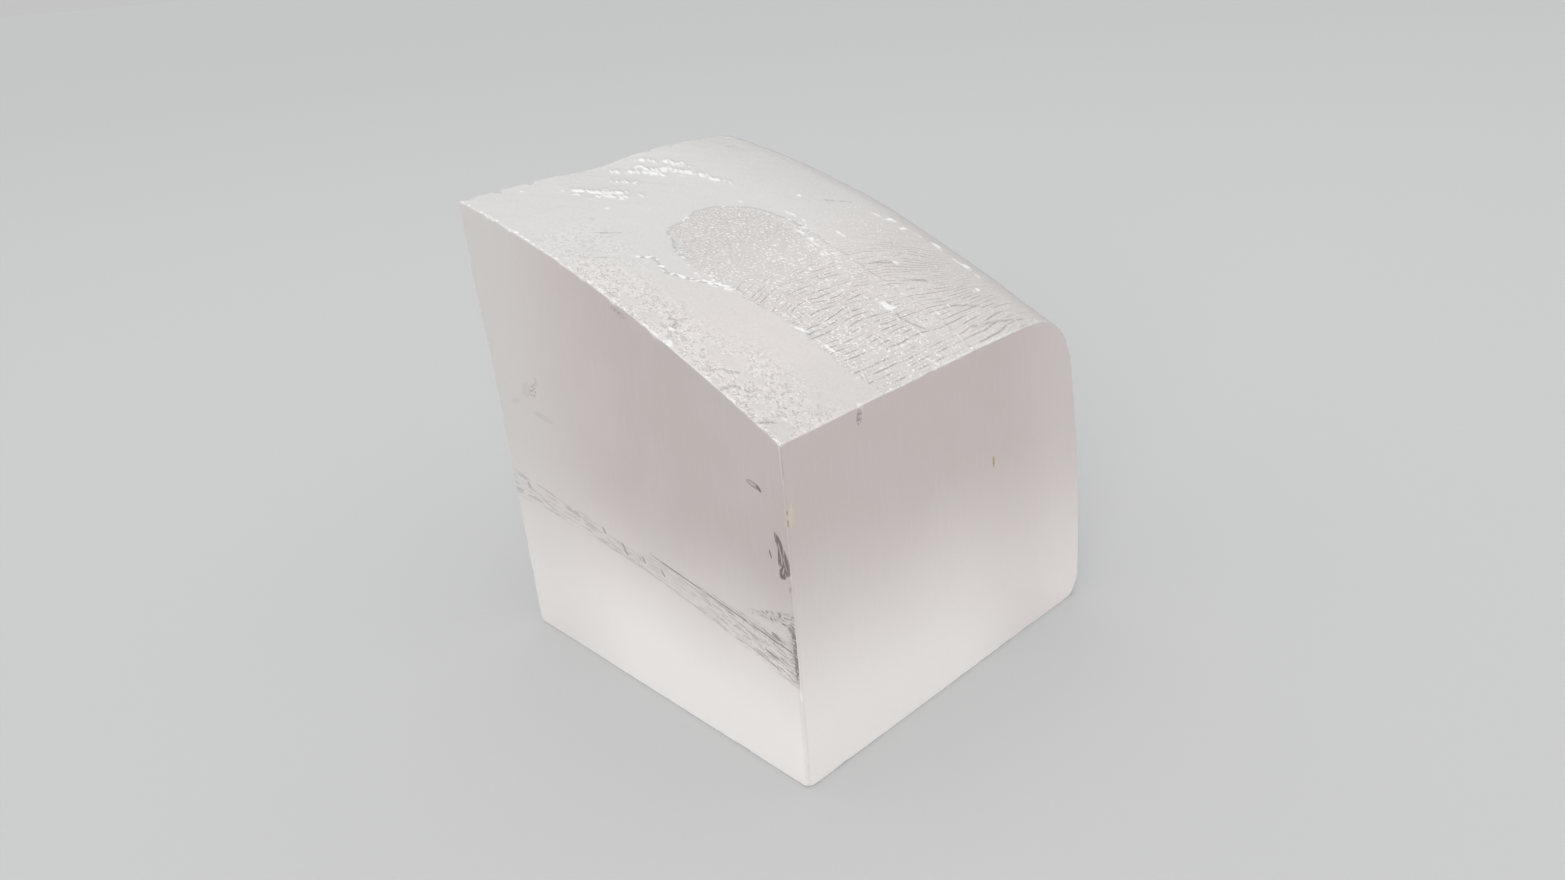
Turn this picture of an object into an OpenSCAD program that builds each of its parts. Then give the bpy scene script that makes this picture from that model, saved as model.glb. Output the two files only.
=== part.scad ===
// Frosted display block, cut as one solid piece from the rim of a large cast disc.
// The curved rim of the disc is the top of the block, and the flat of the disc is its outer wall.
// The disc's axis lies along Y, so the whole cast skin is one surface of revolution.
// Origin: middle of the base. +Z is up. The two ground faces look towards -Y and +X and meet at
// the lowest upright edge. The sawn face looks towards -X, and the outer wall towards +Y.

/* [Block] */
// Width from the sawn face at -X to the ground face at +X
block_w = 101; // [80:0.5:130]
// Depth from the ground face at -Y to the flat of the outer wall at +Y
block_d = 99.5; // [80:0.5:130]
// Height of the upright edge that the two ground faces share
front_h = 78.4; // [60:0.2:100]
// Height of the top at the sawn face
rear_h = 112.4; // [100:0.2:125]

/* [Cast skin] */
// Radius of the disc's rim, which is the curved top
rim_r = 427; // [350:1:600]
// Radius of the shoulder where the rim rolls over into the outer wall
shoulder_r = 16; // [8:0.5:20]
// Distance that the outer wall leans in at the foot of the shoulder
wall_lean = 4.7; // [1:0.1:8]
// Depth below the rim at which the outer wall turns flat
wall_flat_depth = 62; // [50:1:75]

/* [Edges] */
// Radius along the foot of the outer wall
foot_r = 5.5; // [1:0.5:9]
// Width of the worn flat along the upright front edge
edge_flat = 0.6; // [0.2:0.1:1.5]

/* [Hidden] */
$fn = 96;
// Fineness of the two large arcs
wall_fn = 360;
rim_fn = 720;

// Clearance by which cutting tools run past the faces that they cut
over = 5;
// Slope and length of the straight line from the lowest top edge to the highest
top_slope = atan2(rear_h - front_h, block_w);
top_chord = norm([block_w, rear_h - front_h]);
// Centre of the rim
rim_drop = sqrt(pow(rim_r, 2) - pow(top_chord / 2, 2));
rim_x = -rim_drop * sin(top_slope);
rim_z = (front_h + rear_h) / 2 - rim_drop * cos(top_slope);

// Below wall_flat_depth the outer wall is the disc's flat; above it the wall leans in as an arc
wall_rise = wall_flat_depth - shoulder_r;
wall_r = (pow(wall_rise, 2) + pow(wall_lean, 2)) / (2 * wall_lean);
wall_centre = [rim_r - wall_flat_depth, block_d - wall_r];
// The shoulder's arc touches both the rim and the leaning wall
shoulder_y = wall_centre[1] + sqrt(pow(wall_r - shoulder_r, 2) - pow(wall_rise, 2));
shoulder_centre = [rim_r - shoulder_r, shoulder_y];
shoulder_dir = (shoulder_centre - wall_centre) / norm(shoulder_centre - wall_centre);
shoulder_end = wall_centre + wall_r * shoulder_dir;

// Half section of the disc: x is the distance from the disc's axis, y runs along that axis
module disc_section() {
    // Flat of the disc
    square([wall_centre[0], block_d]);
    // Wall that leans in towards the rim
    intersection() {
        translate(wall_centre) circle(r = wall_r, $fn = wall_fn);
        square([shoulder_end[0], block_d]);
    }
    // Shoulder
    translate(shoulder_centre) circle(r = shoulder_r);
    // Rim up to the shoulder
    square([rim_r, shoulder_centre[1]]);
}

// The disc in the block's place, with its axis along Y
module disc() {
    translate([rim_x, -block_d / 2, rim_z])
        rotate([-90, 0, 0])
            rotate_extrude($fn = rim_fn) disc_section();
}

// What the foot radius takes off the edge under the outer wall
module foot_waste() {
    translate([-block_w / 2 - over, block_d / 2 - foot_r, foot_r])
        rotate([90, 0, 90])
            linear_extrude(block_w + 2 * over)
                difference() {
                    translate([0, -foot_r - over]) square([foot_r + over, foot_r + over]);
                    circle(r = foot_r);
                }
}

// What the worn flat takes off the upright front edge
module edge_waste() {
    translate([block_w / 2, -block_d / 2, -over])
        rotate([0, 0, -45])
            translate([-edge_flat / 2, -over, 0])
                cube([over + edge_flat, 2 * over, rear_h + 2 * over]);
}

// The whole object: one solid block
module frosted_block() {
    color([0.88, 0.86, 0.85])
        difference() {
            intersection() {
                translate([-block_w / 2, -block_d / 2, 0]) cube([block_w, block_d, rear_h + over]);
                disc();
            }
            foot_waste();
            edge_waste();
        }
}

frosted_block();
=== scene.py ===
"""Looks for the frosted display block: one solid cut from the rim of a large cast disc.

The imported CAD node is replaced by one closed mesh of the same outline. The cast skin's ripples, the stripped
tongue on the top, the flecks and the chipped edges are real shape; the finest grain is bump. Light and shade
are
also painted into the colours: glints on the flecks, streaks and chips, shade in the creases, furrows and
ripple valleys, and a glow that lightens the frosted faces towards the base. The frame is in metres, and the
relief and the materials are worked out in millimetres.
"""

import math
from typing import NamedTuple

import bpy
import numpy as np
from mathutils import Matrix, Vector


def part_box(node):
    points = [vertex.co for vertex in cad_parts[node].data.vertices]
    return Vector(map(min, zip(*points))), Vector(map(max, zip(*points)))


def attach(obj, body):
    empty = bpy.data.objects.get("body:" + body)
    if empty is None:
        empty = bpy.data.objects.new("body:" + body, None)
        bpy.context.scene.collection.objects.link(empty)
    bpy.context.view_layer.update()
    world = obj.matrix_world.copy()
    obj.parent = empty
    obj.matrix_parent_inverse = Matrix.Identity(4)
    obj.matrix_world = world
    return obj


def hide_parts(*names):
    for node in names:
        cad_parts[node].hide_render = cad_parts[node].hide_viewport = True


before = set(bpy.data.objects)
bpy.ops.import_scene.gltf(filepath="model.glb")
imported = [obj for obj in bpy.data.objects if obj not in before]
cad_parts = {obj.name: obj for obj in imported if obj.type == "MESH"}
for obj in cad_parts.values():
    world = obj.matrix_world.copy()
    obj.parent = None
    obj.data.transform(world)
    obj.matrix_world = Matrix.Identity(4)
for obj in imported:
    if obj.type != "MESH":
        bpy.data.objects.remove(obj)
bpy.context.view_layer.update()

MM = 0.001
NODE = "frosted_block"
LOW, HIGH = (np.array(corner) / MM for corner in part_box(NODE))


def new_object(name, data):
    thing = bpy.data.objects.new(name, data)
    bpy.context.scene.collection.objects.link(thing)
    return thing


# ------ camera

SENSOR_WIDTH = 36.0
LENS = 26.0
# The camera's place from the foot of the front edge, as shares of the block's height
CAMERA_PLACE = (1.2275, -1.1006, 1.4314)
CAMERA_HEADING = math.radians(137.924)
CAMERA_DOWN = math.radians(23.721)
CAMERA_ROLL = math.radians(4.909)


def make_camera():
    """A level view turned to the heading, tipped down, and then rolled."""
    data = bpy.data.cameras.new("camera")
    data.sensor_width = SENSOR_WIDTH
    data.lens = LENS
    data.clip_start = 0.01
    data.clip_end = 50.0
    camera = new_object("camera", data)
    forward = Vector((
        math.cos(CAMERA_HEADING) * math.cos(CAMERA_DOWN),
        math.sin(CAMERA_HEADING) * math.cos(CAMERA_DOWN),
        -math.sin(CAMERA_DOWN),
    ))
    level = forward.cross(Vector((0, 0, 1))).normalized()
    right = Matrix.Rotation(CAMERA_ROLL, 3, forward) @ level
    turn = Matrix((right, right.cross(forward), -forward)).transposed().to_4x4()
    foot = Vector((HIGH[0], LOW[1], 0)) * MM
    camera.matrix_world = Matrix.Translation(foot + Vector(CAMERA_PLACE) * HIGH[2] * MM) @ turn
    bpy.context.scene.camera = camera


# ------ outline of the block, in millimetres

RIM_R = 427
SHOULDER_R = 16
WALL_LEAN = 4.7
WALL_FLAT_DEPTH = 62
FOOT_R = 5.5

REAR_H = HIGH[2]
WIDTH = HIGH[0] - LOW[0]
DEPTH = HIGH[1] - LOW[1]


def front_height():
    """Height of the lower upright edge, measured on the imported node."""
    corners = np.array([vertex.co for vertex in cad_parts[NODE].data.vertices]) / MM
    return corners[corners[:, 0] > HIGH[0] - 0.1, 2].max()


def rim_axis():
    """X and Z of the disc's axis, which runs along Y."""
    drop_h = REAR_H - front_height()
    slope = math.atan2(drop_h, WIDTH)
    below = math.sqrt(RIM_R ** 2 - (math.hypot(WIDTH, drop_h) / 2) ** 2)
    middle_x = (LOW[0] + HIGH[0]) / 2
    return middle_x - below * math.sin(slope), REAR_H - drop_h / 2 - below * math.cos(slope)


RIM_X, RIM_Z = rim_axis()
WALL_RISE = WALL_FLAT_DEPTH - SHOULDER_R
WALL_R = (WALL_RISE ** 2 + WALL_LEAN ** 2) / (2 * WALL_LEAN)
WALL_CENTRE = DEPTH - WALL_R
SHOULDER_START = WALL_CENTRE + math.sqrt((WALL_R - SHOULDER_R) ** 2 - WALL_RISE ** 2)
SHOULDER_END = math.atan2(WALL_RISE, SHOULDER_START - WALL_CENTRE)

GRID = 0.42
EDGE_OFFSETS = [0, 0.14, 0.32, 0.56]
SHOULDER_ROWS = 26
WALL_ROWS = 18
FLAT_ROWS = 10
FOOT_ROWS = 8


def graded(start, end, step):
    """Even steps from start to end, with the short steps of EDGE_OFFSETS next to both ends."""
    first, last = start + EDGE_OFFSETS[-1], end - EDGE_OFFSETS[-1]
    middle = np.linspace(first, last, max(2, round((last - first) / step)))
    opening = [start + offset for offset in EDGE_OFFSETS[:-1]]
    closing = [end - offset for offset in EDGE_OFFSETS[-2::-1]]
    return np.concatenate([opening, middle, closing])


def skin_grid():
    """The cast skin as points[row, column, xyz], from the front top edge over the shoulder and down to the
    base, and how far along the skin each row lies."""
    x = graded(LOW[0], HIGH[0], GRID)
    section = [(across, RIM_R) for across in graded(0, SHOULDER_START, GRID)]
    for turn in np.linspace(math.pi / 2, SHOULDER_END, SHOULDER_ROWS + 1)[1:]:
        out, drop = SHOULDER_R * math.cos(turn), SHOULDER_R * (1 - math.sin(turn))
        section.append((SHOULDER_START + out, RIM_R - drop))
    for turn in np.linspace(SHOULDER_END, 0, WALL_ROWS + 1)[1:]:
        out, rise = WALL_R * math.cos(turn), WALL_R * math.sin(turn)
        section.append((WALL_CENTRE + out, RIM_R - WALL_FLAT_DEPTH + rise))
    rows = [np.stack([x, np.full_like(x, LOW[1] + across), RIM_Z + np.sqrt(r ** 2 - (x - RIM_X) ** 2)], 1)
            for across, r in section]
    wall_end = rows[-1][:, 2]
    for share in np.linspace(0, 1, FLAT_ROWS + 1)[1:]:
        rows.append(np.stack([x, np.full_like(x, HIGH[1]), wall_end * (1 - share) + FOOT_R * share], 1))
    for turn in np.linspace(0, math.pi / 2, FOOT_ROWS + 1)[1:]:
        out, down = FOOT_R * (1 - math.cos(turn)), FOOT_R * (1 - math.sin(turn))
        rows.append(np.stack([x, np.full_like(x, HIGH[1] - out), np.full_like(x, down)], 1))
    points = np.array(rows)
    steps = np.linalg.norm(np.diff(points, axis=0), axis=2).mean(1)
    return points, np.concatenate([[0], np.cumsum(steps)])


# ------ noise and masks

def noise(u, v, seed):
    """Smooth noise between -1 and 1 with features about one unit across."""
    table = np.random.default_rng(seed).uniform(-1, 1, (256, 256))
    cell_u, cell_v = np.floor(u).astype(int), np.floor(v).astype(int)
    fu, fv = u - cell_u, v - cell_v
    fu = fu ** 3 * (fu * (fu * 6 - 15) + 10)
    fv = fv ** 3 * (fv * (fv * 6 - 15) + 10)
    corner = [[table[(cell_u + i) % 256, (cell_v + j) % 256] for j in (0, 1)] for i in (0, 1)]
    near = corner[0][0] * (1 - fu) + corner[1][0] * fu
    far = corner[0][1] * (1 - fu) + corner[1][1] * fu
    return near * (1 - fv) + far * fv


def layered(u, v, seed, layers=2):
    """Noise with finer layers of half the size and half the height added to it."""
    return sum(noise(u * 2 ** k, v * 2 ** k, seed + k) / 2 ** k for k in range(layers))


def smooth(value, start, end):
    """0 before start, 1 past end, and an even curve between them."""
    share = np.clip((value - start) / (end - start), 0, 1)
    return share * share * (3 - 2 * share)


def hump(value, width):
    """1 where the value is 0, and close to 0 beyond two widths."""
    return np.exp(-(value / width) ** 2)


def stroke(x, y, points, width):
    """1 along the open line through points, fading out at width on both sides."""
    nearest = np.full(x.shape, np.inf)
    for (ax, ay), (bx, by) in zip(points, points[1:]):
        dx, dy = bx - ax, by - ay
        share = np.clip(((x - ax) * dx + (y - ay) * dy) / (dx * dx + dy * dy), 0, 1)
        nearest = np.minimum(nearest, np.hypot(x - ax - share * dx, y - ay - share * dy))
    return hump(nearest, width)


def blob(x, y, centre, half_length, half_width, turn):
    """1 at the centre of an oval whose length is turned from X by turn degrees."""
    c, s = math.cos(math.radians(turn)), math.sin(math.radians(turn))
    along = (x - centre[0]) * c + (y - centre[1]) * s
    side = (y - centre[1]) * c - (x - centre[0]) * s
    return np.exp(-(along / half_length) ** 2 - (side / half_width) ** 2)


# ------ relief of the cast skin

# How far the sawn face swells out at its top front corner
CORNER_LEAN = 1.3
TONGUE_DEPTH = 0.16
RIPPLE_HEIGHT = 0.06
# Bow of the flow lines towards the front edge and towards the shoulder
FLOW_BOWS = (0.008, 0.011)
FLOW_MIDDLE = -6
FLOW_SPACING = 1.0
TONGUE_END = (-1, -9)
TONGUE_SPAN = (15, 16.5)
# Bright bumps on the top, raised and painted white as glints: centre, half length, half width, degrees from X
GLINTS = [
    ((29.5, -22.6), 1.5, 0.6, 34), ((32.3, 1.1), 2.3, 1.3, 15), ((28, 8.9), 0.8, 0.4, 43),
    ((6.9, 13.4), 1.8, 0.5, 0), ((21.5, 15.9), 0.8, 0.4, 45), ((-10.5, 18), 0.7, 0.5, 0),
    ((-5.2, 9.5), 1.3, 0.5, 20), ((38.4, 9.5), 0.8, 0.5, 0), ((8.8, 29.6), 1.3, 0.6, 20),
    ((12.6, 28.6), 0.9, 0.5, 20), ((20.8, 31), 1.5, 0.6, 0), ((30, 31), 1.1, 0.5, 0),
    ((-29.7, -49.2), 1.0, 0.45, 0), ((-36.7, -49.2), 0.7, 0.4, 0), ((-14.8, -49.2), 0.7, 0.4, 0),
    ((-3.6, -49.2), 0.8, 0.45, 0), ((0, -49.1), 1.0, 0.5, 0), ((2.2, 5.6), 1.8, 0.6, 10),
    ((19.3, -4), 0.5, 0.4, 0), ((37, 25.8), 0.6, 0.4, 0), ((-46.5, -35.7), 0.6, 0.5, 0),
    ((-28, -26), 0.8, 0.4, 50), ((-41.6, -28), 0.7, 0.3, 45), ((17, -45.6), 0.7, 0.5, 0),
    ((20.2, -48.8), 1.4, 0.7, -20), ((-1.2, 10.2), 0.9, 0.4, 0), ((6.1, 5.2), 1.6, 0.5, -25),
    ((11.7, 2.7), 1.5, 0.4, -30), ((-15, 3), 0.7, 0.3, 30), ((48, -4.6), 2.0, 0.35, 20),
    ((38, 14.3), 0.5, 0.4, 0), ((36.3, -21.7), 1.6, 0.4, 10), ((41.5, -21.5), 1.8, 0.35, 0),
]
# Ribbed bright streaks towards the sawn edge, raised and painted white as glints: start and end
STREAKS = [
    ((-37, -28), (-29, -16)), ((-37, -23), (-34.5, -20)), ((-46, -11), (-36, -2)), ((-40, -14.5), (-36, -12)),
    ((-46, -1), (-37.5, 6)), ((-39, 0), (-24, 8)), ((-43, -5), (-38, -1)), ((-40, -25.5), (-33, -17.5)),
]
# Broken bright lines, painted as highlights: where the top starts to round over, and in front of the tongue
SHOULDER_GLEAM = [(4, 27.5), (10, 29.2), (20, 30.6), (34, 30.4)]
FLECK_LINE = [(-7, -34), (-5, -31.5), (1, -33), (6, -30), (9, -27.5), (13, -24)]
# Thin creases in the skin, sunk a little and painted dark as shade
CREASES = [
    [(-13.5, -44.5), (-12, -43.5), (-11, -41), (-9, -38.5)], [(-20, -35), (-17.5, -30.5)],
    [(-6, 22), (-2, 27)], [(14, -44), (15.3, -42.5), (15.8, -40.8)],
    [(15.3, -42.5), (16.2, -44.3), (17, -45.5)], [(17, -45.5), (19, -47.5)],
    [(35, -49), (35, -47), (35.6, -46), (38, -44.7)], [(30, -46.5), (31, -45), (33, -43)],
    [(31, 2.2), (36.6, 0.2), (42, 3)], [(26.8, 13), (27.8, 14), (29.5, 17.3)],
    [(38, 14), (39, 17), (41.2, 21)], [(18.4, 8.2), (19.5, 12), (21.3, 15.6)],
    [(44.5, -49.5), (45, -48), (46, -46.3)], [(29, -23.8), (31.6, -22)], [(-50, 9.8), (-49.6, 12.6)],
    [(-42.8, 24), (-42.3, 26.2)], [(-26.5, -31.5), (-25, -32.3)], [(45, 13), (46, 19), (48, 27)],
]


def tongue_inside(x, y):
    """How far a point lies inside the stripped tongue, which has a round end and runs out at the ground
    face."""
    wander = 1.1 * noise(x / 7, y / 7, 11) + 0.45 * noise(x / 2, y / 2, 12)
    moved_y = y - 2.6 * smooth(x, 10, 36) * smooth(-y, 5, 15)
    along = np.minimum(x - TONGUE_END[0], 0) / TONGUE_SPAN[0]
    reach = np.hypot(along, (moved_y - TONGUE_END[1]) / TONGUE_SPAN[1])
    return 18 * (1 - reach) + wander


def flow_distance(x, y):
    """Distance across the bowed flow lines. They straighten and spread out towards the ground edge."""
    bow = np.where(y < FLOW_MIDDLE, *FLOW_BOWS) * (1 - smooth(x, 24, 44))
    across = x - bow * (y - FLOW_MIDDLE) ** 2
    across = across - 0.0055 * np.maximum(across - 8, 0) ** 2
    waver = 0.8 * noise(x / 5, y / 8, 43) + 0.22 * noise(x / 1.8, y / 3, 44)
    return across + waver * (1 - 0.55 * smooth(x, 15, 40))


def furrows_at(flow):
    """1 in the narrow furrows between the flow lines."""
    lane = flow / FLOW_SPACING
    off = np.abs(lane - np.floor(lane) - 0.5) * FLOW_SPACING
    return hump(off, 0.22)


def ribbed_streaks(x, y):
    """Short ribs standing in rows along the streaks."""
    total = np.zeros(x.shape)
    for number, ((ax, ay), (bx, by)) in enumerate(STREAKS):
        length = math.hypot(bx - ax, by - ay)
        along = ((x - ax) * (bx - ax) + (y - ay) * (by - ay)) / length
        slant = ((y - ay) * (bx - ax) - (x - ax) * (by - ay)) / length
        ribs = 0.15 + 0.95 * smooth(noise((along + 0.5 * slant) / 0.5, slant / 2 + number, 91), -0.15, 0.4)
        shift = 0.5 * noise(along / 2, along * 0 + number, 93)
        total = np.maximum(total, stroke(x + shift, y - shift, [(ax, ay), (bx, by)], 1.15) * ribs)
    return total


def skin_relief(x, y, along):
    """Height of the relief over the smooth skin, and the masks that the material reads. Noise is told its
    feature size by dividing the place, and its seed comes last."""
    def fine(size, seed):
        return noise(x / size, y / size, seed)

    top = 1 - smooth(along, SHOULDER_START - 10, SHOULDER_START + 10)

    # The broad swell and the dips of the sawn edge
    crown_share = np.clip((along + 8) / 112, 0, 1) ** 1.3
    crown = (1.2 + 1.6 * smooth(-x, -10, 50)) * np.sin(math.pi * crown_share)
    dips = 1.15 * hump(along - 37, 11) + 0.3 * hump(along - 77, 9)
    crown = crown - dips * smooth(-x, 25, 50)
    crown = crown + 1.5 * blob(x, along, (-6, 86), 34, 14, 0)
    broad = 0.3 * layered(x / 30, along / 34, 21)
    quiet = 0.03 * layered(x / 4, along / 4, 25)

    # The stripped tongue: pebbled at its round end, lined towards the ground edge
    inside = tongue_inside(x, y)
    stripped = smooth(inside, 0, 0.8) * top
    stripped = stripped * (1 - smooth(y, 0, 16) * smooth(x, -2, 12))
    round_end = (1 - smooth(y, 4, 14) * smooth(x, -4, 8)) * (1 - smooth(-y, 6, 14) * smooth(x, -6, 6))
    lip = hump(inside + 0.1, 0.32) * top * round_end
    pebbles = layered(x / 0.9, y / 0.9, 31)
    right_part = smooth(x, 4, 24)
    flow = flow_distance(x, y)
    furrows = furrows_at(flow) * smooth(noise(flow / FLOW_SPACING, y / 6, 47), -0.5, 0.3)
    lined = 0.45 * noise(flow / 0.9, y / 3.5, 45) + 0.3 - 1.4 * furrows
    inner = stripped * (pebbles * (0.8 - 0.6 * right_part) + right_part * lined)

    # The skin around it
    drift = top * (1 - stripped) * smooth(y, 0, 10) * (1 - smooth(y, 24, 38)) * smooth(x, -4, 20)
    rear = top * smooth(-x, 12, 34) * smooth(y, -40, -24)
    outer = drift * (0.2 - 1.1 * furrows + 0.5 * noise(flow / 0.9, y / 3, 53))
    outer = outer + rear * 0.5 * layered((x - y) / 2.2, (x + y) / 12, 55)
    ripple = inner + outer * (1 - 0.7 * smooth(x, 32, 46))

    # Everything that flashes: raised a little, and painted white in the skin's colour as glints
    flecks = np.zeros(x.shape)
    for centre, half_length, half_width, turn in GLINTS:
        flecks = np.maximum(flecks, blob(x, y, centre, half_length, half_width, turn))
    flecks = flecks * np.clip(0.75 + 0.6 * fine(0.6, 61), 0, 1)
    ridge = stroke(x, y, FLECK_LINE, 0.6) * smooth(fine(0.65, 63), 0.1, 0.45)
    streaks = ribbed_streaks(x, y)
    # Sparse spots for the painted glints sprayed about the tongue
    grit_and_glint_spots = smooth(fine(0.6, 65), 0.40, 0.60)
    spray = 0.45 * hump(inside, 1.4) * smooth(-y, 12, 22) + 0.9 * blob(x, y, (5, 6), 13, 3.5, -15)
    spray = grit_and_glint_spots * (spray + 1.2 * blob(x, y, (9, -26.5), 6, 1.6, 15))
    cluster = blob(x, y, (9.8, -26.6), 3.0, 1.3, 22) * smooth(fine(0.55, 79), -0.25, 0.25)
    beads = lip * smooth(fine(0.8, 73), 0.30, 0.55)
    # Painted glints along the front top edge
    edge_sparkle = hump(y + 49.4, 0.45) * smooth(fine(0.6, 75), 0.25, 0.55)
    # Painted highlight: a broken rim light along the shoulder
    rim = stroke(x, y, SHOULDER_GLEAM, 0.5) * smooth(fine(1.4, 77), -0.1, 0.4)
    # Painted sheen around the glinting streaks by the sawn edge
    streak_sheen = blob(x, y, (-37, 1), 12, 5, 38) + blob(x, y, (-36, -22), 6, 4, 40)
    streak_sheen = 0.45 * streak_sheen * smooth(fine(0.7, 69), 0, 0.5)
    faint = [0.8 * spray, streak_sheen, 0.9 * beads, 0.6 * edge_sparkle, 0.45 * rim]
    flecks = np.maximum.reduce([flecks, ridge, streaks, cluster, *faint])

    # Painted shade: the creases, the fleck line and the tongue's lip are painted dark
    creases_and_shadows = np.zeros(x.shape)
    for points in CREASES:
        creases_and_shadows = np.maximum(creases_and_shadows, stroke(x, y, points, 0.27))
    creases_and_shadows = creases_and_shadows * top * np.clip(0.7 + 0.8 * fine(0.9, 67), 0, 1)
    creases_and_shadows = np.maximum(creases_and_shadows, 0.8 * stroke(x, y, FLECK_LINE, 0.3))
    # Painted shadows beside the ribs of the bright streaks
    creases_and_shadows = np.maximum(creases_and_shadows, 0.5 * ribbed_streaks(x + 0.7, y - 0.9) * (1 - streaks))

    wall = smooth(along, SHOULDER_START + 8, SHOULDER_START + 26)
    settled = wall * 0.05 * layered(x / 9, along / 2.6, 71)

    relief = broad + crown + quiet + RIPPLE_HEIGHT * ripple + settled
    relief = relief - TONGUE_DEPTH * stripped + 0.02 * lip + 0.17 * flecks - 0.10 * creases_and_shadows
    masks = {"stripped": stripped, "flecks": flecks, "creases_and_shadows": np.maximum(creases_and_shadows, 0.75 * lip)}
    return relief, masks | {"ripple": 0.5 + 0.5 * ripple, "flow": flow}


# ------ one closed mesh

MASK_NAMES = ("stripped", "ripple", "flecks", "creases_and_shadows", "chipped", "flow")


class Shell:
    """Collects the points, faces, face groups and point masks of the mesh."""

    def __init__(self):
        self.points = np.zeros((0, 3))
        self.faces = []
        self.groups = []
        self.masks = {name: np.zeros(0) for name in MASK_NAMES}

    def add_points(self, points, masks=None):
        """Adds points and gives their numbers."""
        first = len(self.points)
        points = np.asarray(points, float).reshape(-1, 3)
        self.points = np.vstack([self.points, points])
        for name, old in self.masks.items():
            new = (masks or {}).get(name, np.zeros(len(points)))
            self.masks[name] = np.concatenate([old, np.ravel(new)])
        return np.arange(first, first + len(points))

    def add_faces(self, corners, group, flip=False):
        """Adds faces given as rows of point numbers."""
        rows = corners[:, ::-1] if flip else corners
        self.faces.extend(tuple(row) for row in rows.tolist())
        self.groups.extend([group] * len(rows))

    def add_line(self, start, end, step):
        """Adds the points between two corners and gives their numbers, from start to end."""
        a, b = self.points[start], self.points[end]
        share = graded(0, np.linalg.norm(b - a), step)[1:-1, None] / np.linalg.norm(b - a)
        return self.add_points(a * (1 - share) + b * share)

    def fill(self, loop, insets, group, flip):
        """Fills a flat outline with rings at insets from it, closing to a point in the middle."""
        loop = np.array(loop)
        outline = self.points[loop]
        middle = (outline.min(0) + outline.max(0)) / 2
        half = (outline.max(0) - outline.min(0)) / 2
        half[half < 1e-6] = 1
        rings = [loop]
        for inset in insets:
            rings.append(self.add_points(middle + (outline - middle) * (1 - inset / half)))
        for outer, inner in zip(rings, rings[1:]):
            self.add_faces(np.stack([outer, np.roll(outer, -1), np.roll(inner, -1), inner], 1), group, flip)
        hub = np.full(len(loop), self.add_points(middle)[0])
        self.add_faces(np.stack([rings[-1], np.roll(rings[-1], -1), hub], 1), group, flip)


def grid_normals(grid):
    """Outward unit normals of the skin's grid."""
    normals = np.cross(np.gradient(grid, axis=1), np.gradient(grid, axis=0))
    return normals / np.linalg.norm(normals, axis=2, keepdims=True)


def ring_insets(step, reach):
    """Ring distances from an outline: close together beside it, then growing to step, up to reach."""
    insets = [*EDGE_OFFSETS[1:], 0.95, 1.6, 2.5]
    while insets[-1] < reach - 1.5 * step:
        insets.append(insets[-1] + min(step, 1.35 * (insets[-1] - insets[-2])))
    return np.array(insets)


def bites(length, base, depth, size, rarity, seed, places=()):
    """How deep an edge is cut at each distance along it: base, with chips of about size and up to depth deep.
    Places adds single cuts: distance along the edge, half length and depth."""
    chip = np.clip((noise(length / size, length * 0, seed) - rarity) / (1 - rarity), 0, 1) ** 0.6
    nick = np.clip(noise(length / (0.3 * size), length * 0 + 3, seed + 1) - 0.3, 0, 1)
    uneven = 0.6 + 0.4 * noise(length / 0.9, length * 0 + 5, seed)
    total = base + depth * chip * uneven + 0.35 * depth * nick
    for middle, half_length, cut in places:
        rough = 1 + 0.5 * noise(length / 0.6, length * 0, 88)
        total = total + cut * np.exp(-((length - middle) / half_length) ** 4) * rough
    return total


def cut_edge(shell, line, outward, depth, rough):
    """Moves whatever stands beyond a plane, depth inside the edge line, in to that plane."""
    low, high = line.min(0) - 3, line.max(0) + 3
    near = np.nonzero(np.all((shell.points > low) & (shell.points < high), axis=1))[0]
    points = shell.points[near]
    nearest = np.empty(len(near), int)
    for start in range(0, len(near), 2000):
        block = points[start:start + 2000, None]
        nearest[start:start + 2000] = np.argmin(((block - line[None]) ** 2).sum(2), axis=1)
    excess = ((points - line[nearest]) * outward[nearest]).sum(1) + depth[nearest]
    cut = excess > 0
    grain = rough * noise(points[:, 0] * 2.1 + points[:, 2], points[:, 1] * 2.1 - points[:, 2], 81)
    moved = np.maximum(excess + grain * np.minimum(excess, 1), 0)
    points[cut] -= (moved[:, None] * outward[nearest])[cut]
    shell.points[near] = points
    shell.masks["chipped"][near] = np.maximum(shell.masks["chipped"][near], np.clip(excess / 0.25, 0, 1))


def line_length(line):
    """Distance along a line at each of its points."""
    return np.concatenate([[0], np.cumsum(np.linalg.norm(np.diff(line, axis=0), axis=1))])


def unit(vectors):
    return vectors / np.linalg.norm(vectors, axis=-1, keepdims=True)


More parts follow.
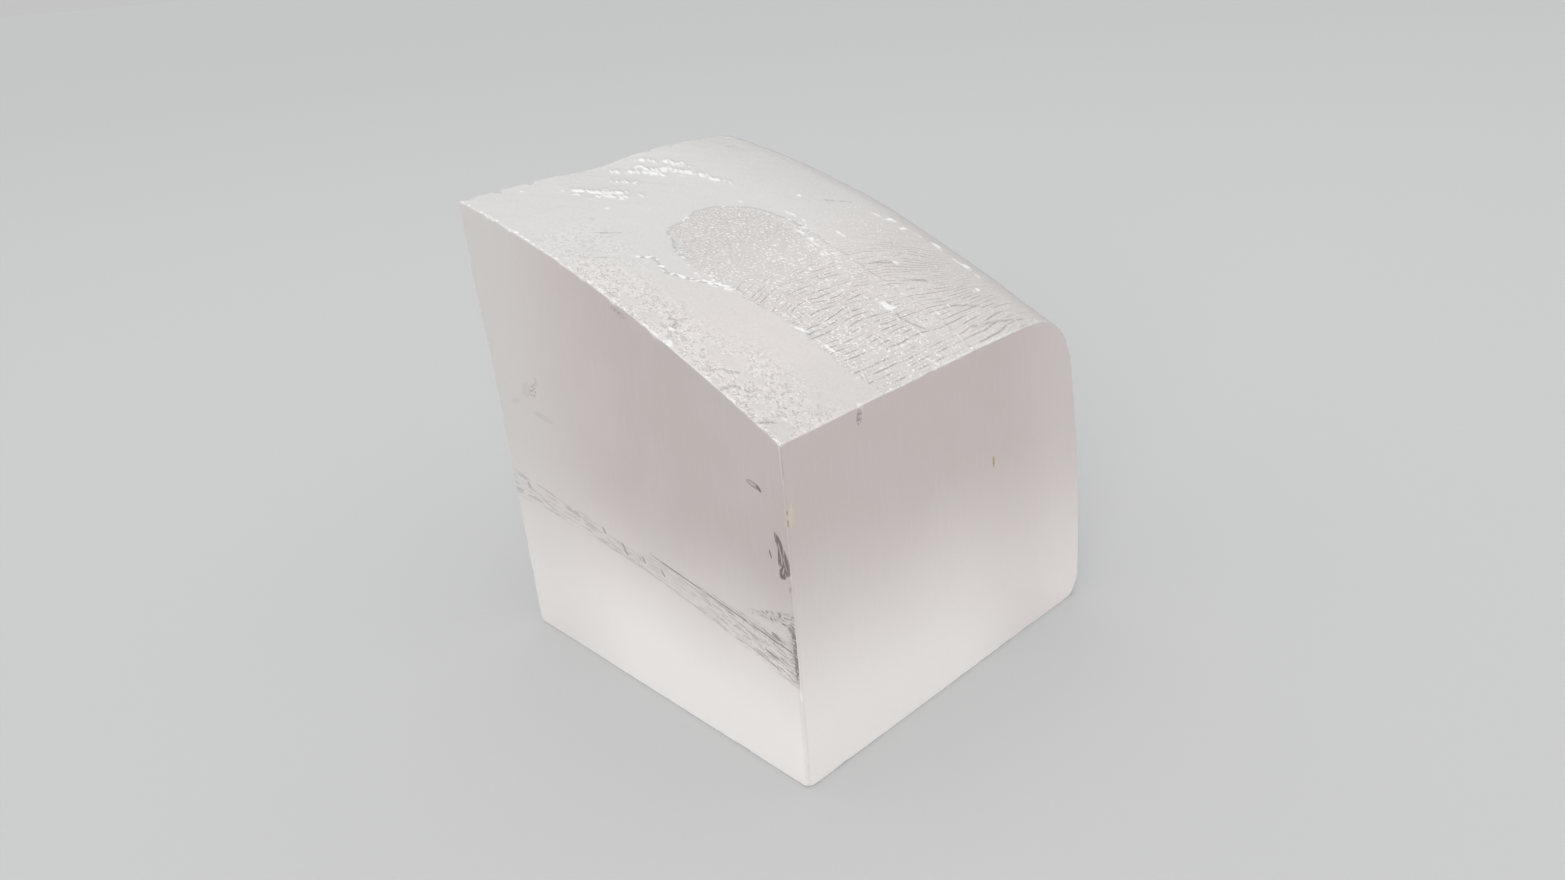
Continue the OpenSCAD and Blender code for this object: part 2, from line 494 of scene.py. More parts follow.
# Each edge: base cut, chip depth, chip length, rarity of chips, seed, and single cuts
FRONT_TOP_CUTS = (
    0.03, 0.40, 2.2, 0.50, 101,
    [(46.5, 0.9, 0.4), (57, 1.3, 0.35), (70.5, 1.4, 0.45), (19.5, 0.7, 0.3)],
)
RIGHT_TOP_CUTS = (0.03, 0.25, 2.0, 0.55, 111, [(21.3, 0.6, 0.35), (0.5, 0.8, 0.2)])
SAWN_TOP_CUTS = (
    0.12, 0.90, 2.7, 0.30, 121,
    [(9.8, 0.7, 1.2), (18.8, 1.0, 1.0), (29, 0.8, 0.6), (53.5, 1.4, 1.2), (86, 6, 0.9)],
)
UPRIGHT_CUTS = (
    0.0, 0.06, 2.6, 0.65, 131,
    [(75.3, 3.2, 0.22), (51, 0.7, 0.2), (32, 8, 0.07), (23.5, 0.6, 0.3)],
)
LEFT_UPRIGHT_CUTS = (0.06, 0.25, 3.0, 0.50, 141)
FOOT_CUTS = (0.20, 0.22, 3.5, 0.45)
# How rough the cuts are, along the top and along the straight edges
TOP_ROUGHNESS = 0.35
STRAIGHT_ROUGHNESS = 0.2


def cut_all_edges(shell, ids, normals, straight):
    """Chips the three edges of the top, and breaks the upright and the foot edges."""
    edges = [
        (ids[0], normals[0] + (0, -1, 0), FRONT_TOP_CUTS, TOP_ROUGHNESS),
        (ids[:, -1], normals[:, -1] + (1, 0, 0), RIGHT_TOP_CUTS, TOP_ROUGHNESS),
        (ids[:, 0], normals[:, 0] + (-1, 0, 0), SAWN_TOP_CUTS, TOP_ROUGHNESS),
    ]
    for numbers, outward, cuts in straight:
        edges.append((numbers, np.array([outward] * len(numbers), float), cuts, STRAIGHT_ROUGHNESS))
    for numbers, outward, cuts, rough in edges:
        line = shell.points[numbers]
        cut_edge(shell, line, unit(outward), bites(line_length(line), *cuts), rough)


def build_shell():
    """The whole block: the cast skin, four flat faces filled in to it, and then the cut edges."""
    shell = Shell()
    grid, along = skin_grid()
    relief, masks = skin_relief(grid[..., 0], grid[..., 1], np.broadcast_to(along[:, None], grid.shape[:2]))
    relief[-FOOT_ROWS:] *= np.linspace(1, 0, FOOT_ROWS)[:, None]
    normals = grid_normals(grid)
    shaped = grid + normals * relief[..., None]
    shaped[:, 0, 0], shaped[:, -1, 0] = LOW[0], HIGH[0]
    shaped[0, :, 1] = LOW[1]
    shaped[-1, :, 2] = 0
    ids = shell.add_points(shaped, masks).reshape(relief.shape)
    corners = np.stack([ids[:-1, :-1], ids[:-1, 1:], ids[1:, 1:], ids[1:, :-1]], -1).reshape(-1, 4)
    shell.add_faces(corners, "skin")

    left_foot = shell.add_points((LOW[0], LOW[1], 0))[0]
    right_foot = shell.add_points((HIGH[0], LOW[1], 0))[0]
    left_up = shell.add_line(left_foot, ids[0, 0], 1.2)
    right_up = shell.add_line(right_foot, ids[0, -1], 0.7)
    front_run = shell.add_line(left_foot, right_foot, 1.3)
    left_run = shell.add_line(left_foot, ids[-1, 0], 1.3)
    right_run = shell.add_line(right_foot, ids[-1, -1], 1.3)

    front = [*ids[0], *right_up[::-1], right_foot, *front_run[::-1], left_foot, *left_up]
    right = [*ids[::-1, -1], *right_up[::-1], right_foot, *right_run]
    sawn = [*ids[:, 0], *left_run[::-1], left_foot, *left_up]
    base = [left_foot, *front_run, right_foot, *right_run, *ids[-1, ::-1], *left_run[::-1]]
    shell.fill(front, ring_insets(3.2, 46), "front", True)
    shell.fill(right, ring_insets(4.5, 38), "right", False)
    shell.fill(sawn, ring_insets(3.4, 46), "sawn", False)
    shell.fill(base, ring_insets(9, 44), "base", True)

    cut_all_edges(shell, ids, normals, [
        (np.array([right_foot, *right_up, ids[0, -1]]), (1, -1, 0), UPRIGHT_CUTS),
        (np.array([left_foot, *left_up, ids[0, 0]]), (-1, -1, 0), LEFT_UPRIGHT_CUTS),
        (np.array([left_foot, *front_run, right_foot]), (0, -1, -1), (*FOOT_CUTS, 151)),
        (np.array([right_foot, *right_run]), (1, 0, -1), (*FOOT_CUTS, 161)),
        (np.array([left_foot, *left_run]), (-1, 0, -1), (*FOOT_CUTS, 171)),
    ])
    x, y, z = shell.points.T
    lean = smooth(z, 66, 98) * smooth(-x, 30, 50) * smooth(-y, 10, 45)
    shell.points[:, 0] -= CORNER_LEAN * lean
    for corner, outward, depth in ((right_foot, (1, -1, -1), 0.9), (left_foot, (-1, -1, -1), 0.6)):
        target = np.sign(shell.points[[corner]]) * np.array([[HIGH[0], HIGH[1], 0]])
        cut_edge(shell, target, unit(np.array([outward], float)), np.array([depth]), 0.0)
    return shell


def make_block(shell, materials):
    """The mesh with its materials by face group and its masks as point attributes."""
    mesh = bpy.data.meshes.new("frosted_block_body")
    mesh.from_pydata((shell.points * MM).tolist(), [], shell.faces)
    order = list(materials)
    for material in materials.values():
        mesh.materials.append(material)
    mesh.polygons.foreach_set("material_index", [order.index(group) for group in shell.groups])
    for name, values in shell.masks.items():
        mesh.attributes.new(name, "FLOAT", "POINT").data.foreach_set("value", values.astype(np.float32))
    mesh.polygons.foreach_set("use_smooth", [True] * len(mesh.polygons))
    mesh.update()
    mesh.set_sharp_from_angle(angle=math.radians(35))
    block = new_object("frosted_block_body", mesh)
    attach(block, "root")
    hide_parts("frosted_block")


# ------ material helpers

IOR = 1.47
# Share of the light that scatters inside, how deep in metres, and how deep each colour goes of that
SUBSURFACE = 0.3
SUBSURFACE_DEPTH = 0.002
SUBSURFACE_COLOURS = (1.0, 0.94, 0.9)
GROUND_TRANSMISSION = 0.2
SKIN_TRANSMISSION = 0.3


class Paint:
    """One material, with short calls that add its nodes. Places are the block's own, in millimetres."""

    def __init__(self, name):
        self.material = bpy.data.materials.new(name)
        self.material.use_nodes = True
        self.nodes = self.material.node_tree.nodes
        self.links = self.material.node_tree.links
        self.shader = self.nodes["Principled BSDF"]
        coordinates = self.new("ShaderNodeTexCoord").outputs["Object"]
        self.place = self.scaled(coordinates, (1 / MM,) * 3)
        self.x, self.y, self.z = self.new("ShaderNodeSeparateXYZ", self.place).outputs

    def put(self, socket, value):
        """Links a socket, or sets a plain value."""
        if isinstance(value, bpy.types.NodeSocket):
            self.links.new(value, socket)
        else:
            socket.default_value = value

    def new(self, kind, *values):
        """A new node with its first inputs linked or set."""
        node = self.nodes.new(kind)
        for socket, value in zip(node.inputs, values):
            self.put(socket, value)
        return node

    def fill(self, node, values):
        """Links or sets a node's inputs by their names."""
        for name, value in values.items():
            self.put(node.inputs[name], value)

    def math(self, operation, *values, clamp=False):
        node = self.new("ShaderNodeMath", *values)
        node.operation = operation
        node.use_clamp = clamp
        return node.outputs[0]

    def add(self, first, second):
        return self.math("ADD", first, second)

    def less(self, first, second):
        """First less second."""
        return self.math("SUBTRACT", first, second)

    def product(self, first, *others):
        for other in others:
            first = self.math("MULTIPLY", first, other)
        return first

    def most(self, first, *others):
        for other in others:
            first = self.math("MAXIMUM", first, other)
        return first

    def absolute(self, value):
        return self.math("ABSOLUTE", value)

    def line(self, value, slope_of, start, slope):
        """Value less the straight line start + slope * slope_of."""
        return self.less(value, self.add(start, self.product(slope_of, slope)))

    def scaled(self, vector, scale):
        node = self.new("ShaderNodeVectorMath", vector, scale)
        node.operation = "MULTIPLY"
        return node.outputs[0]

    def joined(self, x, y, z=0.0):
        return self.new("ShaderNodeCombineXYZ", x, y, z).outputs[0]

    def attribute(self, name):
        node = self.new("ShaderNodeAttribute")
        node.attribute_name = name
        return node.outputs["Fac"]

    def noise(self, size, detail=1.0, at=None):
        """Noise from about 0 to 1 with features of about size millimetres, which may differ by axis. It is
        read at the place on the block, or at another vector."""
        sizes = size if isinstance(size, tuple) else (size,) * 3
        node = self.new("ShaderNodeTexNoise", self.scaled(at or self.place, tuple(1 / s for s in sizes)))
        self.fill(node, {"Scale": 1.0, "Detail": detail})
        return node.outputs["Fac"]

    def step(self, value, start, end):
        """0 at start, 1 at end, with an even curve between them; start may be the larger."""
        ends = (start, end, 0.0, 1.0) if start < end else (end, start, 1.0, 0.0)
        node = self.new("ShaderNodeMapRange", value, *ends)
        node.interpolation_type = "SMOOTHSTEP"
        return node.outputs["Result"]

    def grains(self, size, detail, start, end, at=None):
        """Spots of about size: a noise, 0 where it is below start and 1 where it is above end."""
        return self.step(self.noise(size, detail, at), start, end)

    def worms(self, size, thin, seed_shift, at=None):
        """Thin wandering lines: the places where a noise crosses its middle value."""
        moved = self.new("ShaderNodeVectorMath", at or self.place, (seed_shift, seed_shift * 0.7, 0))
        off_middle = self.less(self.noise(size, at=moved.outputs[0]), 0.5)
        return self.step(self.absolute(off_middle), thin, thin * 0.3)

    def oval(self, u, v, centre, half_length, half_width, turn, uneven=0.9, core=0.75):
        """1 inside a turned oval with an uneven edge, which starts to fade at core."""
        c, s = math.cos(math.radians(turn)), math.sin(math.radians(turn))
        du, dv = self.less(u, centre[0]), self.less(v, centre[1])
        along = self.add(self.product(du, c), self.product(dv, s))
        side = self.less(self.product(dv, c), self.product(du, s))
        reach = self.add(self.math("POWER", self.math("DIVIDE", self.absolute(along), half_length), 2.0),
                         self.math("POWER", self.math("DIVIDE", self.absolute(side), half_width), 2.0))
        ragged = self.add(reach, self.product(self.noise(0.5), uneven))
        return self.step(ragged, 1.2 + 0.5 * uneven, core + 0.5 * uneven)

    def parallel_lines(self, across, along, spacing, half_width, length):
        """Thin parallel lines at even spacing, each broken into pieces of about length."""
        count = self.math("DIVIDE", across, spacing)
        off = self.absolute(self.less(self.math("FRACT", count), 0.5))
        piece = self.joined(self.product(self.math("FLOOR", count), 1.3), along)
        half = half_width / spacing
        pieces = self.grains((1, length, 1), 1.0, 0.40, 0.58, piece)
        return self.product(self.step(off, half, 0.3 * half), pieces)

    def blend(self, share, first, second):
        """A colour that goes from first to second as share goes from 0 to 1."""
        node = self.new("ShaderNodeMix")
        node.data_type = "RGBA"
        self.fill(node, {"Factor": share, "A": first, "B": second})
        return next(output for output in node.outputs if output.type == "RGBA")

    def layers(self, colour, *tints):
        """The colour with tints laid over it in turn; each is a mask, a weight and a colour."""
        for mask, weight, tint in tints:
            colour = self.blend(self.product(mask, weight), colour, tint)
        return colour

    def bump(self, height, distance, strength=1.0, under=None):
        """Bump from a height of 0 to 1 that stands for distance millimetres."""
        node = self.new("ShaderNodeBump")
        self.fill(node, {"Height": height, "Distance": distance * MM, "Strength": strength})
        if under:
            self.put(node.inputs["Normal"], under)
        return node.outputs["Normal"]

    def finish(self, colour, roughness, normal, transmission):
        self.fill(self.shader, {
            "Base Color": colour, "Roughness": roughness, "Normal": normal, "IOR": IOR,
            "Transmission Weight": transmission, "Subsurface Weight": SUBSURFACE,
            "Subsurface Radius": SUBSURFACE_COLOURS, "Subsurface Scale": SUBSURFACE_DEPTH,
        })
        return self.material


# ------ painted glow of the frosted faces

# Painted shade and painted glow of the frosted body: deep inside, deep inside the front face, greyer, and near
# the bright base
PAINTED_SHADE_DEEP = (0.575, 0.511, 0.498, 1)
PAINTED_SHADE_DEEP_FRONT = (0.525, 0.468, 0.455, 1)
PAINTED_SHADE_DEEP_GREY = (0.55, 0.53, 0.508, 1)
PAINTED_GLOW_BRIGHT = (0.88, 0.848, 0.828, 1)


class Glow(NamedTuple):
    """How light gathers in one face, painted into its colour: the body is painted deep above the height high
    and bright below low, and tilt raises the level across the face. Towards one end the face evens out: lift
    is added everywhere and give is taken from the bright part. Each is a place where it starts, a place where
    it is full, and its size."""
    deep: tuple = PAINTED_SHADE_DEEP
    tilt: float = 0.0
    high: float = 60
    low: float = 8
    lift: tuple = (0, 1, 0)
    give: tuple = (0, 1, 0)
    greyness: float = 0.6
    grey_end: bool = False


# Painted glow of each face; the front face is painted a deeper shade than the right
FRONT_GLOW = Glow(PAINTED_SHADE_DEEP_FRONT, 0.0, 58, 10, (22, -46, 0.22), (6, -46, 0.56), 0.25, True)
RIGHT_GLOW = Glow(PAINTED_SHADE_DEEP, 0.13, 60, 6, (14, 42, 0.15), (0, 34, 0.43), 0.35)
HIDDEN_GLOW = Glow()


def frosted_tone_and_painted_glow(paint, across, glow):
    """The frosted faces' colour with painted light: it lightens towards the base, where light gathers inside,
    and grey patches lie in the deep part.
    """
    waver = paint.product(paint.less(paint.noise(28), 0.5), 6.0)
    level = paint.add(paint.add(paint.z, paint.product(across, glow.tilt)), waver)
    # Painted light: the colour goes from the deep painted shade above high to the bright glow below low
    gathered = paint.step(level, glow.high, glow.low)
    given = paint.product(paint.step(across, *glow.give[:2]), gathered, glow.give[2])
    lifted = paint.product(paint.step(across, *glow.lift[:2]), glow.lift[2])
    gathered = paint.math("ADD", paint.less(gathered, given), lifted, clamp=True)
    tint = paint.product(paint.grains(17, 1.0, 0.44, 0.66), glow.greyness)
    if glow.grey_end:
        tint = paint.most(tint, paint.product(paint.step(across, -6, -46), 0.9))
    return paint.blend(gathered, paint.blend(tint, glow.deep, PAINTED_SHADE_DEEP_GREY), PAINTED_GLOW_BRIGHT)


# ------ marks on the ground faces

# Each mark is a centre in the plane of its face, a half length, a half width and degrees from level
BAND_TICKS = [(-12.3, 40), (-5.3, 38.4), (-4.6, 37), (2.1, 37.4), (8.7, 36.4), (-43.5, 42.6)]
EDGE_PATCHES = [((44.6, 35.2), 1.5, 0.55, -22), ((42.8, 30.2), 2.2, 0.35, -14), ((49.3, 38.4), 1.0, 0.7, -40)]
LEAF = [
    ((48.0, 57.2), 2.5, 0.85, -66), ((48.9, 53.8), 2.9, 1.4, -78), ((48.5, 51.2), 1.7, 1.05, 62),
    ((47.6, 54.9), 2.7, 0.26, 86), ((50.0, 51.4), 0.7, 0.28, 60),
]
LEAF_SPLITS = [((48.15, 55.2), 2.4, 0.17, -82), ((49.1, 53.3), 1.8, 0.13, -74), ((48.5, 51.6), 1.0, 0.15, 70)]
STAINS = [((-33.4, 70), 2.0, 1.3, 60), ((-31.8, 72.2), 1.5, 0.6, 70)]
SMEARS = [((-42.5, 65.4), 2.6, 0.6, 18), ((-31, 63.8), 4.0, 0.8, -6), ((-36.5, 69.5), 2.2, 1.6, 50)]
# Rust marks on the right face: core and halo, each a centre, a half length and a half width
RUST_SPOTS = [
    (((14, 51), 1.4, 0.36), ((14.2, 51), 2.2, 0.9)),
    (((-49.3, 62.4), 0.8, 0.22), ((-48.6, 62.9), 2.2, 1.4)),
    (((-49.3, 64.6), 0.5, 0.18), ((-48.4, 64.6), 1.8, 1.2)),
]


def ovals(paint, places, uneven=0.9):
    """The front face's ovals from one of the lists above, as one mask."""
    return paint.most(*[paint.oval(paint.x, paint.z, *place, uneven) for place in places])


def rub_band(paint):
    """Dark rubbed lines that fall across the front face and crowd together at the upright edge."""
    x, z, step, product = paint.x, paint.z, paint.step, paint.product
    pinch = product(step(x, -20, -8), step(x, 8, -2), 1.8)
    above_low = paint.add(paint.line(z, x, 34.6, -0.13), product(x, x, 0.0013))
    below_high = product(paint.add(paint.line(z, x, 40.3, -0.1), pinch), -1.0)
    share = paint.math("DIVIDE", above_low, paint.add(above_low, below_high))
    within = product(step(share, -0.08, 0.10), step(share, 1.06, 0.92))

    loose = paint.joined(x, product(share, 6.0))
    tight = paint.joined(x, above_low)
    wavered = paint.add(above_low, product(paint.noise((30, 5, 1), at=tight), 1.2))
    close_scratches = product(paint.parallel_lines(wavered, x, 0.46, 0.09, 5.0), step(x, 8, 26))
    scratches = paint.most(paint.parallel_lines(wavered, x, 0.75, 0.10, 9.0), close_scratches)
    scratches = product(scratches, step(x, -16, 2))
    wandering = product(paint.worms((24, 1.3, 1), 0.10, 0.0, loose), paint.most(step(x, 14, -4), 0.2))
    broken = paint.grains((4.0, 0.9, 1), 2.0, 0.43, 0.53, tight)
    # Dark grit spots in the band
    grit_and_glint_spots = product(paint.grains((0.8, 0.18, 1), 1.0, 0.58, 0.68, tight), step(x, 4, 44), 0.6)
    weight = paint.add(0.30, product(step(x, -4, 44), 0.58))
    body = paint.most(product(wandering, broken), product(scratches, broken), grit_and_glint_spots)
    body = product(body, within, weight)

    gaps = paint.grains(3.5, 2.0, 0.34, 0.48, paint.joined(x, 0.0))
    high_line = step(paint.absolute(paint.line(z, x, 40.6, -0.15)), 0.20, 0.05)
    high_line = product(high_line, step(x, 3, 9), gaps, 0.9)
    low_line = step(paint.absolute(paint.less(above_low, 0.5)), 0.24, 0.05)
    low_line = product(low_line, step(x, -22, -12), step(x, 30, 18), gaps, 0.35)
    ticks = ovals(paint, [(place, 1.0, 0.34, -48) for place in BAND_TICKS])
    return paint.most(body, high_line, low_line, product(ticks, 0.6))


def edge_scuffs(paint):
    """The dark, ragged end of the rub band on the upright edge, and the hatched wedge above it."""
    x, z, step, product = paint.x, paint.z, paint.step, paint.product
    tall = product(step(z, 25, 28.5), step(z, 40, 38))
    ragged = paint.grains((1.4, 0.32, 1), 2.0, 0.46, 0.58, paint.joined(x, paint.line(z, x, 0.0, -0.3)))
    spread = product(tall, step(x, 47.2, 50.2), ragged, 0.9)
    rim_grains = paint.grains((1, 1, 0.9), 1.0, 0.34, 0.52)
    rim = product(tall, step(x, 49.1, 49.8), rim_grains, 0.85)
    patches = product(ovals(paint, EDGE_PATCHES), 0.62)
    above, below = paint.line(z, x, 34.0, 0.1), paint.line(z, x, 28.2, 0.29)
    wedge = product(step(above, -0.2, 0.4), step(below, 0.3, -0.7), step(x, 32, 42))
    hatch = paint.grains((1.2, 0.30, 1), 1.0, 0.50, 0.62, paint.joined(x, paint.line(z, x, 0.0, -0.2)))
    wedge = product(wedge, hatch, paint.add(0.45, product(step(x, 36, 48), 0.45)))
    return paint.most(spread, rim, patches, wedge)


def leaf_chip(paint):
    """A long leaf-shaped chip beside the upright edge, grey inside with pale splits down it."""
    leaf = ovals(paint, LEAF, 0.8)
    splits = ovals(paint, LEAF_SPLITS, 0.4)
    feathered = paint.grains((0.3, 1, 2.6), 2.0, 0.24, 0.44)
    return paint.product(leaf, paint.less(1.0, paint.product(splits, 0.85)), feathered, 0.92)


def front_marks(paint):
    """Everything rubbed, chipped or stained on the front face, as a mask of dirt."""
    x, z, product = paint.x, paint.z, paint.product
    pit = paint.oval(x, z, (42.2, 68.1), 2.0, 0.62, -14, 0.4)
    pit_inside = paint.oval(x, z, (41.9, 68.2), 1.4, 0.34, -14, 0.4)
    pit = product(paint.less(pit, product(pit_inside, 0.75)), 0.62)
    pit = paint.most(pit, product(paint.oval(x, z, (43.6, 67.7), 0.9, 0.42, -40, 0.4), 0.85))
    fleck = product(paint.oval(x, z, (45.2, 54.2), 1.0, 0.26, -75, 0.4), 0.8)
    fine = paint.noise(0.6, 2.0)
    stain = product(ovals(paint, STAINS), paint.step(fine, 0.50, 0.62), 0.6)
    smears = product(ovals(paint, SMEARS), 0.10)
    nick = product(paint.oval(x, z, (5.5, 95.7), 2.6, 0.6, -22), paint.step(fine, 0.44, 0.58), 0.4)
    dots = product(paint.oval(x, z, (50, 48), 0.8, 0.25, 80), 0.5)
    wear = paint.most(rub_band(paint), edge_scuffs(paint), leaf_chip(paint))
    return paint.most(wear, pit, fleck, stain, smears, nick, dots)


def right_marks(paint):
    """The dark side of the broken corner at the top of the upright edge, and a chip under the top edge."""
    y, z = paint.y, paint.z
    corner = paint.product(paint.oval(y, z, (-49.6, 74.8), 3.4, 0.22, 90, 0.4), 0.5)
    chip_grains = paint.grains(0.5, 1.0, 0.40, 0.56)
    chip = paint.product(paint.oval(y, z, (-28.7, 76.7), 1.7, 0.8, 80), chip_grains, 0.6)
    return paint.most(corner, chip)


def few_specks(paint):
    """A few dark specks, for a face that isn't seen."""
    return paint.product(paint.grains(0.7, 1.0, 0.78, 0.84), 0.25)


# ------ materials

DIRT = (0.155, 0.12, 0.12, 1)
RUST = (0.36, 0.22, 0.06, 1)
RUST_HALO = (0.74, 0.66, 0.44, 1)
GRAIN_PALE = (0.93, 0.9, 0.88, 1)
GRAIN_AND_SHADE_DARK = (0.42, 0.39, 0.38, 1)
CHIP_GLINT_PALE = (0.9, 0.88, 0.87, 1)
KERF_PALE = (0.93, 0.91, 0.89, 1)
KERF_DARK = (0.40, 0.37, 0.36, 1)
# Middle of the saw blade's arcs, in Y and Z
SAW_CENTRE = (190.0, -60.0)


def ground_material(name, across_axis, glow, marks=few_specks, rust_spots=(), shade=None):
    """A ground, frosted face. Shade gives two places between which painted shade darkens the colour towards an
    edge, where the bevel catches light.
    """
    paint = Paint(name)
    across = getattr(paint, across_axis)
    grain = paint.noise(0.22, 2.0)
    streaks = paint.noise(0.5, 2.0, paint.joined(across, paint.product(paint.z, 0.04)))
    dirt = marks(paint)
    tints = [
        (paint.step(streaks, 0.45, 0.75), 0.04, GRAIN_PALE),
        (paint.step(grain, 0.5, 0.72), 0.07, GRAIN_AND_SHADE_DARK),
        (dirt, 1.0, DIRT),
    ]
    for core, halo in rust_spots:
        tints.append((paint.oval(across, paint.z, *halo, 90, uneven=1.2, core=-0.9), 0.45, RUST_HALO))
        tints.append((paint.oval(across, paint.z, *core, 90), 0.8, RUST))
    # Painted shade along the upright edge, against the light that the bevel catches
    if shade:
        tints.append((paint.step(across, *shade), 0.17, GRAIN_AND_SHADE_DARK))
    # Painted glints: the chips are painted paler
    tints.append((paint.attribute("chipped"), 0.15, CHIP_GLINT_PALE))
    # The colour starts from the painted glow of the frosted faces, lighter towards the base
    colour = paint.layers(frosted_tone_and_painted_glow(paint, across, glow), *tints)
    roughness = paint.add(0.50, paint.product(grain, 0.22))
    height = paint.add(paint.product(grain, 0.85), paint.product(streaks, 0.15))
    normal = paint.bump(paint.less(height, paint.product(dirt, 0.8)), 0.05, 0.7)
    return paint.finish(colour, roughness, normal, GROUND_TRANSMISSION)


def sawn_material():
    """The sawn face: coarse kerf lines in wide arcs over frosting."""
    paint = Paint("sawn_face")
    off_y, off_z = paint.less(paint.y, SAW_CENTRE[0]), paint.less(paint.z, SAW_CENTRE[1])
    radius = paint.math("SQRT", paint.add(paint.product(off_y, off_y), paint.product(off_z, off_z)))
    kerf = paint.noise(0.6, 3.0, paint.joined(radius, paint.product(paint.z, 0.03)))
    grain = paint.noise(0.3, 2.0)
    colour = paint.layers(
        # Painted glow, lighter towards the base
        frosted_tone_and_painted_glow(paint, paint.y, HIDDEN_GLOW),
        (paint.step(kerf, 0.4, 0.7), 0.14, KERF_PALE),
        (paint.step(kerf, 0.42, 0.3), 0.10, KERF_DARK),
        # Painted glints on the chips
        (paint.attribute("chipped"), 0.6, (0.94, 0.93, 0.93, 1)),
    )
    roughness = paint.add(0.5, paint.product(grain, 0.3))
    height = paint.add(paint.product(kerf, 0.8), paint.product(grain, 0.2))
    return paint.finish(colour, roughness, paint.bump(height, 0.12, 0.6), GROUND_TRANSMISSION)


# The skin: by the sawn edge, by the ground edge, by the shoulder, in the tongue and where it crackles
SKIN_LEFT = (0.742, 0.734, 0.728, 1)
SKIN_RIGHT = (0.757, 0.722, 0.70, 1)
SKIN_SHOULDER = (0.56, 0.54, 0.525, 1)
SKIN_STRIPPED = (0.735, 0.70, 0.68, 1)
SKIN_CRACKLED = (0.86, 0.82, 0.79, 1)
# Painted shade for the flow furrows, the crackle (whose colour also darkens the specks) and the creases; the
# gleam and white are painted highlights
FURROW_SHADE = (0.33, 0.31, 0.31, 1)
CRACKLE_SHADE_AND_SPECKS = (0.36, 0.34, 0.34, 1)
CREASE_SHADE = (0.22, 0.21, 0.21, 1)
GLEAM = (1.0, 0.985, 0.97, 1)
WHITE = (1.0, 1.0, 1.0, 1)


def skin_base(paint, stripped):
    """The broad colour of the cast skin, on the top and down the wall."""
    colour = paint.blend(paint.step(paint.x, -18, 24), SKIN_LEFT, SKIN_RIGHT)
    shoulder = (paint.step(paint.y, 4, 36), 0.5, SKIN_SHOULDER)
    colour = paint.layers(colour, shoulder, (stripped, 0.85, SKIN_STRIPPED))
    # The wall takes the frosted faces' painted glow, lighter towards the base
    wall = frosted_tone_and_painted_glow(paint, paint.x, HIDDEN_GLOW)
    return paint.blend(paint.step(paint.y, 30, 44), colour, wall)


def crackle_zone(paint):
    """Patches along the front edge and at the corner where the skin is crackled."""
    x, y, step, product = paint.x, paint.y, paint.step, paint.product
    edge_zone = product(step(y, -34, -44), step(x, -26, -6))
    corner_zone = product(step(y, -28, -40), step(x, 18, 34))
    middle_zone = product(step(y, -30, -36), step(x, -30, -22), step(x, 4, -8), 0.6)
    patches = paint.grains(5.0, 1.0, 0.30, 0.46)
    return product(paint.most(edge_zone, corner_zone, middle_zone), patches)


def drift_zone(paint, stripped):
    """The top beyond the tongue, where the flow lines fade out towards the shoulder."""
    across = paint.product(paint.less(1.0, stripped), paint.step(paint.y, 0, 12), paint.step(paint.y, 36, 20))
    return paint.product(across, paint.step(paint.x, -12, 10))


def flow_lines(paint):
    """Thin broken lines that follow the flow lines of the relief, with finer ones between them."""
    flow, length = paint.attribute("flow"), 6.0
    wide = paint.parallel_lines(flow, paint.y, FLOW_SPACING, 0.16, length)
    fine = paint.parallel_lines(paint.add(flow, 0.2), paint.y, 0.5, 0.09, length)
    return paint.product(paint.most(wide, paint.product(fine, 0.40)), paint.step(paint.x, 2, 22))


